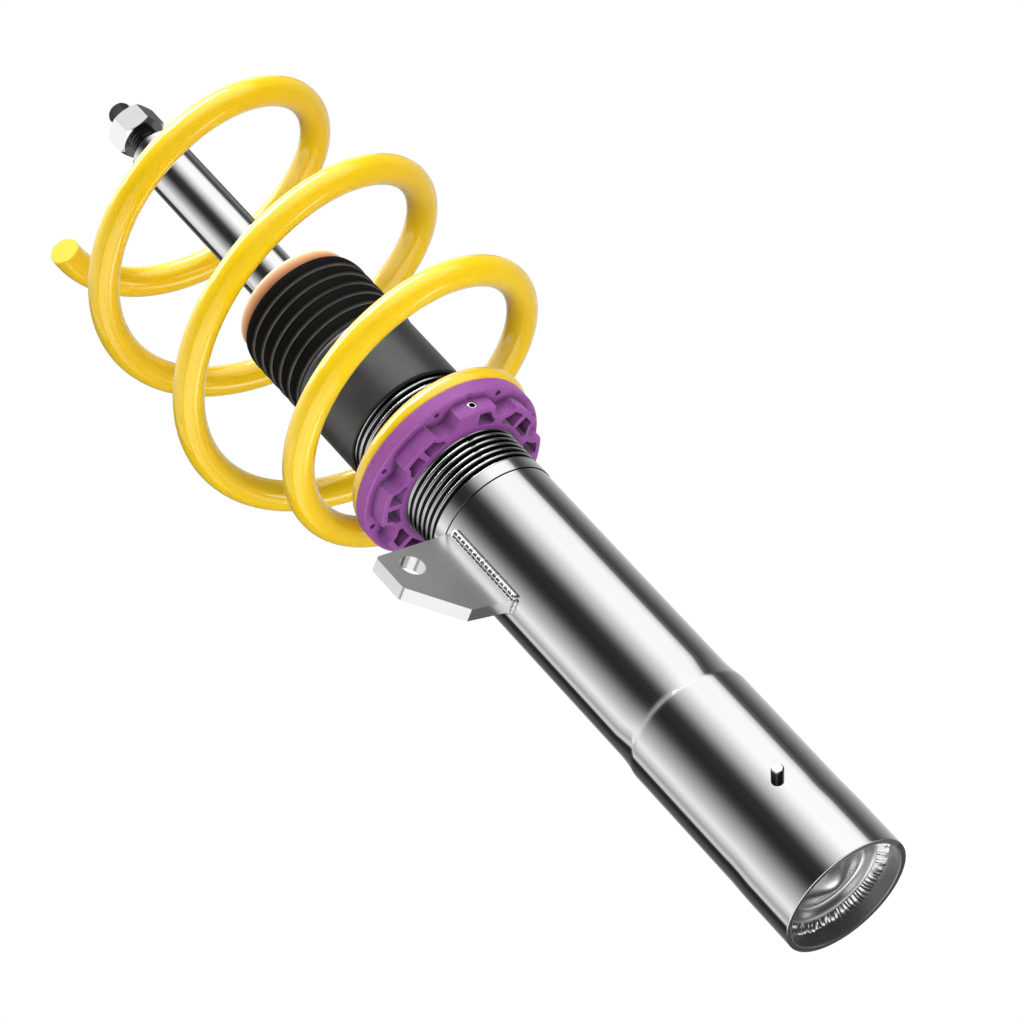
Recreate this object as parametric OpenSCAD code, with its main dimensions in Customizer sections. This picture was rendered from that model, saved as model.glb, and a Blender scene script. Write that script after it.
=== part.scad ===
// Front coilover strut: damper, threaded spring perch and coil spring.
// Millimetres. +Z runs from the open lower tube end to the rod tip, and the
// origin is the centre of the tube's lower rim. The link bracket points to -X.

/* [Strut tube] */
// Outside diameter of the lower barrel, the seat of the knuckle clamp
barrel_d = 55; // [50:0.5:60]
// Length of the barrel's ground end, which the clamp grips
clamp_length = 37.5; // [30:0.5:37.5]
// How much the ground end stands proud of the barrel
clamp_proud = 0.3; // [0.3:0.01:0.4]
// Outside diameter of the tube above the swaged step
tube_d = 52; // [48:0.5:52.4]
// Wall thickness of the tube
tube_wall = 2.5; // [2:0.1:3.5]
// Height where the swaged step starts
swage_z = 94; // [70:1:110]
// Height of the swaged step itself
swage_h = 11; // [6:1:16]
// Height where the tube ends and the threaded body starts
seam_z = 216.2; // [214:0.1:218]

/* [Threaded body] */
// How much wider than the tube the perch thread is, across its crests
thread_over = 0.7; // [0.4:0.1:2]
// Pitch of the perch thread
thread_pitch = 3; // [2:0.25:4]
// Depth of the perch thread
thread_depth = 1.3; // [0.8:0.1:1.6]
// Height of the plain collar below the thread
collar_h = 5.6; // [4:0.2:8]
// Height of the threaded body's upper end
body_top_z = 300; // [292:1:302]

/* [Lower end] */
// Depth of the dome's nose inside the lower rim
dome_z = 5.6; // [5.2:0.1:7]
// Height of the moat around the dome
moat_z = 11; // [10:0.25:12]
// Radius of the moat's deepest ring
moat_r = 15.5; // [13:0.5:18]
// Height of the end cap's rim underside
cap_rim_z = 8.5; // [8:0.25:9.5]
// Height of the end cap's flat inner face
cap_top_z = 14; // [13:0.5:16]
// Height where the end weld starts on the tube wall
end_weld_z = 6; // [5:0.25:7]
// Width of the end weld across the cap
end_weld_w = 4; // [2.5:0.25:4.4]

/* [Locating pin] */
// Diameter of the locating pin
pin_d = 5; // [3:0.5:6]
// How far the pin stands out of the barrel
pin_out = 8; // [4:0.5:12]
// Height of the pin on the barrel
pin_z = 40.5; // [36:0.5:60]
// Direction of the pin, in degrees from +X
pin_angle = -116; // [-180:1:180]

/* [Link bracket] */
// Thickness of the bracket plate
plate_t = 6; // [4:0.5:8]
// Diameter of the link hole
link_hole_d = 10.5; // [8:0.5:14]
// Distance of the link hole from the strut's axis
link_hole_x = 55.3; // [50:0.1:57]
// Height of the link hole
link_hole_z = 201.6; // [198:0.1:203]
// Distance of the plate's outer edge from the strut's axis
plate_reach = 67.3; // [66:0.1:74]
// Height of the plate's top edge at the tube
plate_top_in = 213.3; // [211:0.1:214]
// Height of the plate's top outer corner
plate_top_out = 210; // [209:0.5:212]
// Height of the lower end of the plate's outer edge
plate_side_z = 192; // [186:0.5:194]
// Distance of the plate's lower corner from the strut's axis
plate_low_x = 47.7; // [40:0.1:52]
// Height of the plate's lower edge
plate_low_z = 172.4; // [165:0.1:176]
// Radius of the plate's two outer corners
plate_round = 4; // [1:0.5:6]
// Radius of the weld beads along the plate
bead_r = 1.5; // [1:0.1:3]

/* [Damper inside] */
// Inside diameter of the pressure tube
bore_d = 34; // [30:1:36]
// Wall thickness of the pressure tube
bore_wall = 1.5; // [1:0.25:2]
// Diameter of the piston rod
rod_d = 22; // [20:0.5:22]
// Height of the piston's lower face at full extension
piston_z = 168; // [150:1:175]
// Height of the piston
piston_h = 16; // [12:1:20]
// Thickness of each shim stack
shims_t = 1.6; // [1:0.2:3]
// Diameter of the rod's spigot through the piston
spigot_d = 12; // [10:0.5:14]
// Height of the base valve body
valve_h = 10; // [8:0.5:12]
// Number of oil ports in the piston and in the base valve
port_count = 6; // [4:1:8]
// Diameter of an oil port
port_d = 3; // [2:0.25:3.5]
// Height of the rod guide
guide_h = 19; // [15:1:22]
// Length of the rebound buffer
buffer_h = 8; // [5:0.5:12]

/* [Rod end] */
// Height of the rod's shoulder
shoulder_z = 459.1; // [458.5:0.1:462]
// Diameter of the threaded stud
stud_d = 12; // [10:0.5:14]
// Pitch of the stud thread
stud_pitch = 1.5; // [1:0.25:2]
// Height of the top nut's underside above the shoulder
nut_up = 8.2; // [6:0.1:12]
// Height of the top nut
nut_h = 11; // [8:0.5:12]
// Width of the top nut across its flats
nut_af = 19; // [17:0.5:24]
// Width of the rod tip's hexagon across its flats
tip_af = 8.5; // [7:0.5:8.5]
// Height of the rod tip above the top nut
tip_up = 9.3; // [6:0.1:14]

/* [Bump stop and boot] */
// Radius of the bump stop's top flange
stop_flange_r = 25.75; // [24:0.25:27]
// Height of the bump stop's top flange
stop_flange_h = 7.8; // [5:0.1:9]
// Radius of the bump stop's barrel
stop_r = 21; // [18:0.5:22]
// Depth of the bump stop's two waists
waist_depth = 3.5; // [1:0.5:5]
// Gap between the thread and the dust boot's bore
boot_gap = 0.4; // [0.3:0.05:2]
// Height of the boot's lower lip
boot_z = 275.4; // [274:0.2:280]
// Height of the boot's top face
boot_top_z = 350.2; // [350:0.2:352]
// Wall thickness of the boot
boot_wall = 1.3; // [1:0.1:1.35]
// Number of ribs around the boot
rib_count = 6; // [4:1:6]
// Distance from one rib to the next
rib_pitch = 6.2; // [5:0.1:6.2]
// Height where the lowest rib starts
rib_z = 312.6; // [310:0.2:312.6]
// How far the ribs stand out of their grooves
rib_depth = 0.9; // [0.4:0.1:1.2]

/* [Coil spring] */
// Diameter of the spring wire
wire_d = 12.6; // [10:0.2:12.8]
// Radius of the wire's centre line at the seated end
coil_tip_r = 33.95; // [33.9:0.05:34.2]
// Radius of the centre line where the coil leaves the perch
coil_seat_r = 37.5; // [37:0.1:37.8]
// Radius of the centre line in the middle turns
coil_mid_r = 68.7; // [64:0.1:72]
// Radius of the centre line at the free end
coil_top_r = 55.4; // [52:0.1:60]
// Rise per turn as the wire leaves its seat
pitch_seat = 6.4; // [6:0.1:8]
// Rise per turn in the middle turns
pitch_mid = 71.6; // [60:0.2:76]
// Rise per turn in the top turns
pitch_top = 50.2; // [44:0.2:60]
// Turned angle from the seated end to the free end
coil_sweep = 1466; // [1300:1:1500]
// Rings of facets in one turn of wire
coil_rings = 24; // [24:1:36]
// Sides of the wire
coil_sides = 8; // [6:1:12]

/* [Spring perch] */
// Outside diameter of the perch flange
perch_d = 82.4; // [81:0.2:86]
// Height of the perch's underside
perch_z = 240; // [239:0.1:242]
// Height of the flange's underside above the perch's underside
flange_up = 6.9; // [5.5:0.1:7.2]
// Height of the spring seat above the perch's underside
seat_up = 8.6; // [8.3:0.1:8.6]
// Height of the flange's lip above the perch's underside
lip_up = 13; // [11:0.1:13.2]
// Thickness of the lip around the spring seat
lip_t = 0.9; // [0.6:0.1:0.9]
// Outside radius of the perch's toothed ring
ring_r = 37.7; // [36:0.1:38.5]
// Number of spanner notches around the ring
notch_count = 8; // [6:1:9]
// Radius of a spanner notch
notch_r = 6; // [4.5:0.25:6.5]
// Radius of the circle through the notch centres
notch_pcr = 38.5; // [38:0.1:40]
// Thickness of the walls around the moulded pockets
perch_wall = 2; // [1.4:0.1:2.4]
// Diameter of the lock screw
screw_d = 3.9; // [3:0.1:5]
// Height of the lock screw above the perch's underside
screw_up = 4.3; // [4:0.1:4.4]

/* [Fits] */
// Radial clearance of running fits
run_fit = 0.05; // [0.02:0.01:0.08]
// Gap between parts that move past each other without guiding
move_gap = 0.3; // [0.2:0.05:0.5]

/* [Hidden] */
$fn = 144;

barrel_r = barrel_d / 2;
tube_r = tube_d / 2;
thread_r = tube_r + thread_over / 2;
core_r = tube_r - tube_wall;
barrel_core_r = barrel_r - tube_wall;
rod_r = rod_d / 2;
bore_r = bore_d / 2;
bore_out_r = bore_r + bore_wall;
spigot_r = spigot_d / 2;
stud_r = stud_d / 2;
nut_z = shoulder_z + nut_up;
tip_z = nut_z + nut_h + tip_up;

// Inside the lower end
valve_z = cap_top_z;
bore_z = valve_z + valve_h;
valve_spigot = 6;
valve_rim = 1;
cap_step_count = 12;

// Rod guide stack under the gland nut
gland_flange_h = 4;
gland_depth = 10;
guide_z = body_top_z - gland_depth - guide_h;
guide_top_z = body_top_z - gland_depth;
guide_spigot = 6;
bush_wall = 1.5;
bush_inset = 2;
seal_h = 7;
seal_r = core_r - 3.5;
wiper_h = 3;
wiper_wall = 3;
oring_r = 1.2;
gland_top_z = body_top_z + gland_flange_h;

// Piston stack
band_h = 10;
band_t = 1.4;
piston_r = bore_r - 0.4;
piston_top_z = piston_z + piston_h;
shims_r = bore_r - 5;
piston_nut_af = 19;
piston_nut_h = 8;
spigot_end_z = piston_z - shims_t - piston_nut_h - 2;
port_ring_r = (spigot_r + piston_r - band_t) / 2 + 0.6;
buffer_top_z = guide_z - guide_spigot - move_gap;
stop_ring_h = 4;
stop_ring_r = bore_r - 1.5;
collar_groove = 0.8;
groove_h = 2;
buffer_r = bore_r - 1.2;

// Bump stop and boot
boot_in_r = thread_r + boot_gap;
boot_r = boot_in_r + boot_wall;
rib_ledge = 0.1;
stop_top_z = boot_top_z + stop_flange_h;
boot_neck_r = stop_r - 1;
boot_roof = 1.4;
rib_top_z = rib_z + rib_count * rib_pitch;
stop_bore_r = rod_r + move_gap;
stop_round = 2.5;

// Perch
perch_bore_r = thread_r + run_fit + 0.03;
notch_first_angle = 12.4;
lobe_step = 360 / notch_count;
lobe_first_angle = notch_first_angle + lobe_step / 2;
screw_lobe_number = 5;
screw_angle = lobe_first_angle + lobe_step * screw_lobe_number;
pocket_in_r = 29.3;
pocket_out_r = ring_r - perch_wall - 0.2;
screw_r = screw_d / 2;
screw_z = perch_z + screw_up;
pad_len = 1.9;
dimple_r = 1.25;
dimple_depth = 1.3;
scallop_r = 3.1;

// Spring: angles count turned degrees, with 0 where the wire faces the link side's front
wire_r = wire_d / 2;
coil_zero_angle = -138;
coil_start_angle = -110;
coil_flat_angle = -20;
coil_rest_z = perch_z + seat_up + wire_r + 0.1;
leave_angles = [-23, 154];
open_angles = [127, 453];
close_angles = [736, 1369];
rise_angles = [-65, 703];
ease_angles = [874, 1220];
coil_n = ceil(coil_rings * coil_sweep / 360);
coil_da = coil_sweep / coil_n;

function smooth(a, b, t) = let (u = max(0, min(1, (t - a) / (b - a)))) u * u * (3 - 2 * u);
function coil_r(t) = coil_tip_r
    + (coil_seat_r - coil_tip_r) * smooth(leave_angles[0], leave_angles[1], t)
    + (coil_mid_r - coil_seat_r) * smooth(open_angles[0], open_angles[1], t)
    + (coil_top_r - coil_mid_r) * smooth(close_angles[0], close_angles[1], t);
function coil_pitch(t) = t < coil_flat_angle ? 0 : pitch_seat
    + (pitch_mid - pitch_seat) * smooth(rise_angles[0], rise_angles[1], t)
    + (pitch_top - pitch_mid) * smooth(ease_angles[0], ease_angles[1], t);
coil_z = [for (i = 0, z = coil_rest_z; i <= coil_n;
    i = i + 1, z = z + coil_pitch(coil_start_angle + (i - 0.5) * coil_da) * coil_da / 360) z];
coil_pts = [for (i = [0 : coil_n]) let (t = coil_start_angle + i * coil_da, a = t + coil_zero_angle)
    [coil_r(t) * cos(a), coil_r(t) * sin(a), coil_z[i]]];

function unit(v) = v / norm(v);
function tangent(p, i) = unit(p[min(i + 1, len(p) - 1)] - p[max(i - 1, 0)]);
function ring(c, t, r, n) =
    let (s = unit([c[0], c[1], 0]), u = unit(s - (s * t) * t), v = cross(t, u))
    [for (k = [0 : n - 1]) c + r * cos(360 * k / n) * u + r * sin(360 * k / n) * v];
// Facets of a tube of m rings of n points, wound outwards
function tube_faces(m, n) = concat(
    [for (i = [0 : m - 2], k = [0 : n - 1]) [i * n + k, (i + 1) * n + k, i * n + (k + 1) % n]],
    [for (i = [0 : m - 2], k = [0 : n - 1])
        [(i + 1) * n + k, (i + 1) * n + (k + 1) % n, i * n + (k + 1) % n]],
    [for (k = [1 : n - 2]) [0, k, k + 1]],
    [for (k = [1 : n - 2]) [(m - 1) * n, (m - 1) * n + k + 1, (m - 1) * n + k]]);

// Least gap of the wire to itself, between points at least half a turn apart
half_turn = ceil(coil_rings / 2);
coil_gap = min([for (i = [0 : coil_n - half_turn], j = [i + half_turn : coil_n])
    norm(coil_pts[i] - coil_pts[j])]) - wire_d;
echo(str("least gap of the spring to itself: ", coil_gap, " mm"));  // coil_spring

// A ring of rectangular section
module ring_of(r_out, r_in, z, h) {
    translate([0, 0, z]) difference() {
        cylinder(r = r_out, h = h);
        translate([0, 0, -1]) cylinder(r = r_in, h = h + 2);
    }
}

// Outline of a thread's ridges from z0 to z1, in [radius, height] pairs
function ridges(r, depth, pitch, z0, z1) = [for (i = [0 : floor((z1 - z0) / pitch) - 1], k = [0 : 3])
    [k == 1 || k == 2 ? r - depth : r, z0 + pitch * (i + [0.12, 0.42, 0.58, 0.88][k])]];

module strut_tube() {
    color("silver") difference() {
        rotate_extrude() polygon([[barrel_core_r, 0], [barrel_r - 0.4, 0], [barrel_r, 0.4],
            [barrel_r, clamp_length], [barrel_r - clamp_proud, clamp_length + clamp_proud],
            [barrel_r - clamp_proud, swage_z], [tube_r, swage_z + swage_h], [tube_r, seam_z],
            [core_r, seam_z], [core_r, swage_z + swage_h], [barrel_core_r, swage_z]]);
        rotate([0, 0, pin_angle]) translate([0, 0, pin_z]) rotate([0, 90, 0])
            cylinder(d = pin_d, h = barrel_r + 1);
    }
}

module threaded_body() {
    step = 0.7;
    color("dimgray") rotate_extrude() polygon(concat(
        [[core_r, seam_z], [tube_r - step, seam_z], [tube_r - step, seam_z + step]],
        [[thread_r, seam_z + 2 * step]],
        ridges(thread_r, thread_depth, thread_pitch, seam_z + collar_h, body_top_z - 1),
        [[thread_r, body_top_z - 1], [thread_r - 1, body_top_z], [core_r, body_top_z]]));
}

// Underside of the end cap: a dome, its moat, and the rise back to the rim
function cap_under_z(r, rim) = r < moat_r
    ? dome_z + (moat_z - dome_z) * (1 - cos(180 * r / moat_r)) / 2
    : cap_rim_z + (moat_z - cap_rim_z) * (1 + cos(180 * (r - moat_r) / (rim - moat_r))) / 2;

module base_cap() {
    rim = barrel_core_r - end_weld_w;
    color("gray") rotate_extrude() polygon(concat(
        [for (i = [0 : cap_step_count]) let (r = rim * i / cap_step_count) [r, cap_under_z(r, rim)]],
        [[barrel_core_r, cap_rim_z], [barrel_core_r, cap_top_z], [0, cap_top_z]]));
}

module base_weld() {
    w = end_weld_w;
    h = cap_rim_z - end_weld_z;
    color("lightgray") rotate_extrude() polygon(concat(
        [[barrel_core_r, cap_rim_z], [barrel_core_r - w, cap_rim_z]],
        [for (a = [15 : 15 : 75]) [barrel_core_r - w * cos(a), cap_rim_z - h * sin(a)]],
        [[barrel_core_r, end_weld_z]]));
}

// Points of a rounded corner at b, between the points a and c
function round_corner(a, b, c, r, n) =
    let (u = unit(a - b), v = unit(c - b), half = acos(u * v) / 2, m = b + unit(u + v) * r / sin(half),
        p = b + u * r / tan(half) - m, q = b + v * r / tan(half) - m)
    [for (i = [0 : n]) m + r * unit(p * (1 - i / n) + q * i / n)];

plate_corners = [[-core_r, plate_top_in], [-plate_reach, plate_top_out], [-plate_reach, plate_side_z],
    [-plate_low_x, plate_low_z + 0.8], [-core_r, plate_low_z]];

module link_bracket() {
    p = plate_corners;
    color("gray") difference() {
        translate([0, plate_t / 2, 0]) rotate([90, 0, 0]) linear_extrude(plate_t) polygon(concat([p[0]],
            round_corner(p[0], p[1], p[2], plate_round / 2, 4),
            round_corner(p[1], p[2], p[3], plate_round, 6), [p[3], p[4]]));
        translate([0, 0, plate_low_z - plate_t])
            cylinder(r = tube_r, h = plate_top_in - plate_low_z + 2 * plate_t);
        translate([-link_hole_x, plate_t, link_hole_z]) rotate([90, 0, 0])
            cylinder(d = link_hole_d, h = 2 * plate_t);
    }
}

module bracket_weld() {
    x = sqrt(tube_r * tube_r - plate_t * plate_t / 4) + bead_r * 0.3;
    y = plate_t / 2 + bead_r * 0.3;
    z0 = plate_low_z + bead_r * 0.6;
    z1 = plate_top_in - bead_r * 0.8;
    w = bead_r * 4;
    color("lightgray") difference() {
        union() {
            for (s = [-1, 1]) {
                translate([-x, s * y, z0]) cylinder(r = bead_r, h = z1 - z0);
                translate([-x, s * y, z0]) sphere(r = bead_r);
                translate([-x, s * y, z1]) sphere(r = bead_r);
            }
            translate([-x, plate_t / 2, plate_low_z]) rotate([90, 0, 0])
                cylinder(r = bead_r * 0.8, h = plate_t);
        }
        cylinder(r = tube_r, h = body_top_z);
        translate([-plate_reach, -plate_t / 2, plate_low_z])
            cube([plate_reach, plate_t, plate_top_in - plate_low_z + w]);
        translate([-plate_reach, -plate_t / 2 - w, plate_top_in - 0.1])
            cube([plate_reach, plate_t + 2 * w, w]);
    }
}

module locating_pin() {
    end = barrel_r + pin_out;
    color("gainsboro") rotate([0, 0, pin_angle]) translate([0, 0, pin_z]) rotate([0, 90, 0]) difference() {
        rotate_extrude() polygon([[0, barrel_core_r - 0.5], [pin_d / 2, barrel_core_r - 0.5],
            [pin_d / 2, end - 0.8], [pin_d / 2 - 0.6, end], [0, end]]);
    }
}

module pressure_tube() {
    color("silver") ring_of(bore_out_r, bore_r, bore_z, guide_z - bore_z);
}

module base_valve_body() {
    color("darkgray") difference() {
        union() {
            translate([0, 0, valve_z]) cylinder(r = bore_out_r, h = valve_h);
            translate([0, 0, bore_z]) cylinder(r = bore_r, h = valve_spigot);
        }
        translate([0, 0, valve_z - 1]) cylinder(r = bore_r - 4, h = valve_h - 2);
        for (k = [0 : 3]) rotate([0, 0, 90 * k]) translate([0, -3, valve_z - 1]) cube([bore_out_r + 1, 6, 4]);
        for (k = [0 : port_count - 1]) rotate([0, 0, 360 * k / port_count])
            translate([port_ring_r, 0, valve_z]) cylinder(d = port_d, h = valve_h + valve_spigot + 1);
        translate([0, 0, valve_z]) cylinder(r = 3, h = valve_h + valve_spigot + 1);
    }
}

module base_valve_shims() {
    color("lightsteelblue") ring_of(shims_r, 3, bore_z + valve_spigot, shims_t);
}

module base_valve_bolt() {
    head_z = valve_z + valve_h - 3;
    top_z = bore_z + valve_spigot + shims_t;
    color("dimgray") {
        translate([0, 0, head_z - 3.5]) cylinder(d = 10 / cos(30), h = 3.5, $fn = 6);
        translate([0, 0, head_z - 1]) cylinder(r = 3, h = top_z + 5 - head_z + 1);
        translate([0, 0, top_z]) cylinder(d = 9 / cos(30), h = 4, $fn = 6);
    }
}

module rod_guide() {
    color("slategray") difference() {
        union() {
            translate([0, 0, guide_z]) cylinder(r = core_r, h = guide_h);
            translate([0, 0, guide_z - guide_spigot]) cylinder(r = bore_r, h = guide_spigot);
        }
        translate([0, 0, guide_z - guide_spigot - 1])
            cylinder(r = rod_r + move_gap, h = guide_h + guide_spigot + 2);
        translate([0, 0, guide_z + bush_inset]) cylinder(r = rod_r + run_fit + bush_wall, h = guide_h);
        translate([0, 0, guide_z + guide_h / 2]) rotate_extrude()
            translate([core_r, 0]) circle(r = oring_r, $fn = 32);
    }
}

module guide_bush() {
    r = rod_r + run_fit;
    color("peru") ring_of(r + bush_wall, r, guide_z + bush_inset, guide_h - bush_inset);
}

module guide_oring() {
    color("black") intersection() {
        translate([0, 0, guide_z + guide_h / 2]) rotate_extrude()
            translate([core_r, 0]) circle(r = oring_r, $fn = 32);
        translate([0, 0, guide_z]) cylinder(r = core_r, h = guide_h);
    }
}

module rod_seal() {
    color("black") ring_of(seal_r, rod_r + run_fit, guide_top_z, seal_h);
}

module gland_nut() {
    holes = 4;
    hole_r = 1.75;
    color("dimgray") difference() {
        union() {
            translate([0, 0, guide_top_z]) cylinder(r = core_r, h = gland_depth);
            translate([0, 0, body_top_z]) cylinder(r = thread_r - 0.8, h = gland_flange_h);
        }
        translate([0, 0, guide_top_z - 1]) cylinder(r = seal_r, h = seal_h + 1);
        translate([0, 0, guide_top_z]) cylinder(r = rod_r + move_gap, h = gland_depth + gland_flange_h + 1);
        translate([0, 0, gland_top_z - wiper_h]) cylinder(r = rod_r + run_fit + wiper_wall, h = wiper_h + 1);
        for (k = [0 : holes - 1]) rotate([0, 0, 45 + 360 * k / holes])
            translate([(rod_r + wiper_wall + thread_r) / 2, 0, gland_top_z - 3]) cylinder(r = hole_r, h = 4);
    }
}

module dust_wiper() {
    r = rod_r + run_fit;
    color("black") ring_of(r + wiper_wall, r, gland_top_z - wiper_h, wiper_h);
}

module hex_prism(af, z, h) {
    translate([0, 0, z]) cylinder(d = af / cos(30), h = h, $fn = 6);
}

// Full rod diameter from the piston stack to the shoulder, with its groove for the rebound stop
module rod_barrel() {
    z0 = piston_top_z + shims_t;
    g = buffer_top_z - buffer_h - groove_h - 1;
    in_r = rod_r - collar_groove;
    rotate_extrude() polygon([[0, z0], [rod_r - 0.5, z0], [rod_r, z0 + 0.5], [rod_r, g], [in_r, g],
        [in_r, g + groove_h], [rod_r, g + groove_h], [rod_r, shoulder_z - 0.8],
        [rod_r - 0.7, shoulder_z], [0, shoulder_z]]);
}

module piston_rod() {
    flat_dir = -138;
    end_z = nut_z + nut_h + 1;
    color("silver") {
        rod_barrel();
        translate([0, 0, spigot_end_z]) cylinder(r = spigot_r, h = piston_top_z + shims_t - spigot_end_z);
        rotate_extrude() polygon(concat([[0, shoulder_z], [stud_r, shoulder_z], [stud_r, shoulder_z + 2]],
            ridges(stud_r, 0.75, stud_pitch, shoulder_z + 2, end_z),
            [[stud_r - 0.9, end_z], [0, end_z]]));
        intersection() {
            rotate([0, 0, flat_dir - 30]) hex_prism(tip_af, nut_z + nut_h, tip_z - nut_z - nut_h);
            rotate_extrude() polygon([[0, nut_z], [tip_af, nut_z], [tip_af / 2 + 0.9, tip_z - 1.3],
                [tip_af / 2 - 0.4, tip_z], [0, tip_z]]);
        }
    }
}

module piston() {
    groove_in = bore_r - run_fit - band_t - move_gap;
    mid = piston_z + piston_h / 2;
    color("darkgray") difference() {
        translate([0, 0, piston_z]) cylinder(r = piston_r, h = piston_h);
        ring_of(piston_r + 1, groove_in, mid - band_h / 2 - move_gap / 2, band_h + move_gap);
        translate([0, 0, piston_z - 1]) cylinder(r = spigot_r, h = piston_h + 2);
        for (k = [0 : port_count - 1]) rotate([0, 0, 360 * k / port_count])
            translate([port_ring_r, 0, piston_z - 1]) cylinder(d = port_d, h = piston_h + 2);
    }
}

module piston_band() {
    r = bore_r - run_fit;
    color("saddlebrown") ring_of(r, r - band_t, piston_z + (piston_h - band_h) / 2, band_h);
}

module compression_shims() {
    color("lightsteelblue") ring_of(shims_r, spigot_r, piston_top_z, shims_t);
}

module rebound_shims() {
    color("lightsteelblue") ring_of(shims_r, spigot_r, piston_z - shims_t, shims_t);
}

module piston_nut() {
    color("dimgray") difference() {
        hex_prism(piston_nut_af, piston_z - shims_t - piston_nut_h, piston_nut_h);
        translate([0, 0, spigot_end_z - 1]) cylinder(r = spigot_r, h = piston_z - spigot_end_z + 2);
    }
}

module rebound_stop() {
    z = buffer_top_z - buffer_h - stop_ring_h;
    g = buffer_top_z - buffer_h - groove_h - 1;
    color("gray") difference() {
        ring_of(stop_ring_r, rod_r - collar_groove, z, stop_ring_h);
        ring_of(rod_r, rod_r - 2, z - 1, g - z + 1);
        ring_of(rod_r, rod_r - 2, g + groove_h, stop_ring_h);
    }
}

module rebound_buffer() {
    color("black") ring_of(buffer_r, rod_r, buffer_top_z - buffer_h, buffer_h);
}

module top_nut() {
    flat_dir = -124.1;
    corner_r = nut_af / 2 / cos(30);
    bevel = 1.1;
    color("gainsboro") difference() {
        intersection() {
            rotate([0, 0, flat_dir - 30]) hex_prism(nut_af, nut_z, nut_h);
            rotate_extrude() polygon([[0, nut_z], [nut_af / 2 - 0.2, nut_z], [corner_r + 0.1, nut_z + bevel],
                [corner_r + 0.1, nut_z + nut_h - bevel], [nut_af / 2 - 0.2, nut_z + nut_h],
                [0, nut_z + nut_h]]);
        }
        translate([0, 0, nut_z - 1]) cylinder(r = stud_r, h = nut_h + 2);
    }
}

module bump_stop() {
    h = boot_top_z - gland_top_z;
    n = 16;
    z0 = gland_top_z;
    color("orange") rotate_extrude() polygon(concat([[stop_bore_r, z0], [stop_r - 5, z0]],
        [for (i = [1 : n - 1]) let (u = i / n)
            [stop_r - waist_depth * pow(sin(360 * u), 2), z0 + (h - boot_roof) * u]],
        [[boot_neck_r, boot_top_z - boot_roof], [boot_neck_r, boot_top_z]],
        [[stop_flange_r - 0.6, boot_top_z], [stop_flange_r, boot_top_z + 0.8]],
        [for (a = [0 : 15 : 90])
            [stop_flange_r - stop_round * (1 - cos(a)), stop_top_z - stop_round * (1 - sin(a))]],
        [[stop_bore_r, stop_top_z]]));
}

// One rib of the boot: a ledge at its lower edge, then a full shape that falls back to the next groove
function rib_r(u) = rib_depth
    * (u < rib_ledge ? u / rib_ledge - 0.6 : 0.4 - pow((u - rib_ledge) / (1 - rib_ledge), 2));

module dust_boot() {
    rib_at = [0, rib_ledge, 0.25, 0.45, 0.65, 0.85];
    groove = boot_r + rib_r(0);
    neck_in = boot_in_r - 0.6;
    out = concat([[boot_in_r, boot_z], [boot_r - 0.3, boot_z], [boot_r, boot_z + 0.4], [boot_r, rib_z - 1]],
        [for (i = [0 : rib_count - 1], u = rib_at) [boot_r + rib_r(u), rib_z + rib_pitch * (i + u)]],
        [[groove, rib_top_z], [groove - 0.5, boot_top_z], [boot_neck_r, boot_top_z]]);
    inside = [[boot_neck_r, boot_top_z - boot_roof], [neck_in - 1, boot_top_z - boot_roof],
        [neck_in, boot_top_z - boot_roof - 1], [neck_in, rib_z], [boot_in_r, rib_z - 2]];
    color("black") rotate_extrude() polygon(concat(out, inside));
}

module coil_spring() {
    rings = [for (i = [0 : coil_n]) each ring(coil_pts[i], tangent(coil_pts, i), wire_r, coil_sides)];
    color("gold") polyhedron(points = rings, faces = tube_faces(coil_n + 1, coil_sides), convexity = 9);
}

module perch_blank() {
    r = perch_d / 2;
    land = 0.25;
    bevel = 1;
    corner = 1.2;
    rotate_extrude() translate([0, perch_z]) polygon([[perch_bore_r, 0], [ring_r - 0.4, 0], [ring_r, 0.4],
        [ring_r, flange_up], [r - 0.6, flange_up], [r, flange_up + 0.6], [r, lip_up],
        [r - land, lip_up], [r - lip_t, lip_up - bevel], [r - lip_t, seat_up + corner],
        [r - lip_t - corner, seat_up], [perch_bore_r, seat_up]]);
}

// One moulded pocket of a lobe, on side s of the lobe's rib
module lobe_pocket(s) {
    keep = notch_r + perch_wall - 0.3;
    from = asin((perch_wall / 2 + 0.1) / pocket_in_r);
    to = lobe_step / 2 - 4.5;
    difference() {
        rotate([0, 0, s > 0 ? from : -to]) rotate_extrude(angle = to - from)
            translate([pocket_in_r, 0]) square([pocket_out_r - pocket_in_r, flange_up - 0.1]);
        rotate([0, 0, s * lobe_step / 2]) translate([notch_pcr, 0, -1]) cylinder(r = keep, h = flange_up + 1);
    }
}

module spring_perch() {
    color("mediumorchid") difference() {
        perch_blank();
        for (k = [0 : notch_count - 1]) {
            rotate([0, 0, notch_first_angle + k * lobe_step]) translate([notch_pcr, 0, perch_z - 1]) {
                cylinder(r = notch_r, h = flange_up + 1);
                cylinder(r = dimple_r, h = flange_up + 1 + dimple_depth, $fn = 24);
            }
            rotate([0, 0, lobe_first_angle + k * lobe_step]) translate([0, 0, perch_z - 0.1]) {
                lobe_pocket(1);
                if (k != screw_lobe_number) lobe_pocket(-1);
            }
        }
        rotate([0, 0, screw_angle]) translate([perch_bore_r - 3, 0, screw_z]) rotate([0, 90, 0])
            cylinder(r = screw_r + run_fit, h = perch_d / 2);
        rotate([0, 0, screw_angle]) translate([ring_r - 0.01, 0, screw_z]) rotate([0, 90, 0])
            cylinder(r = scallop_r, h = perch_d / 2);
    }
}

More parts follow.
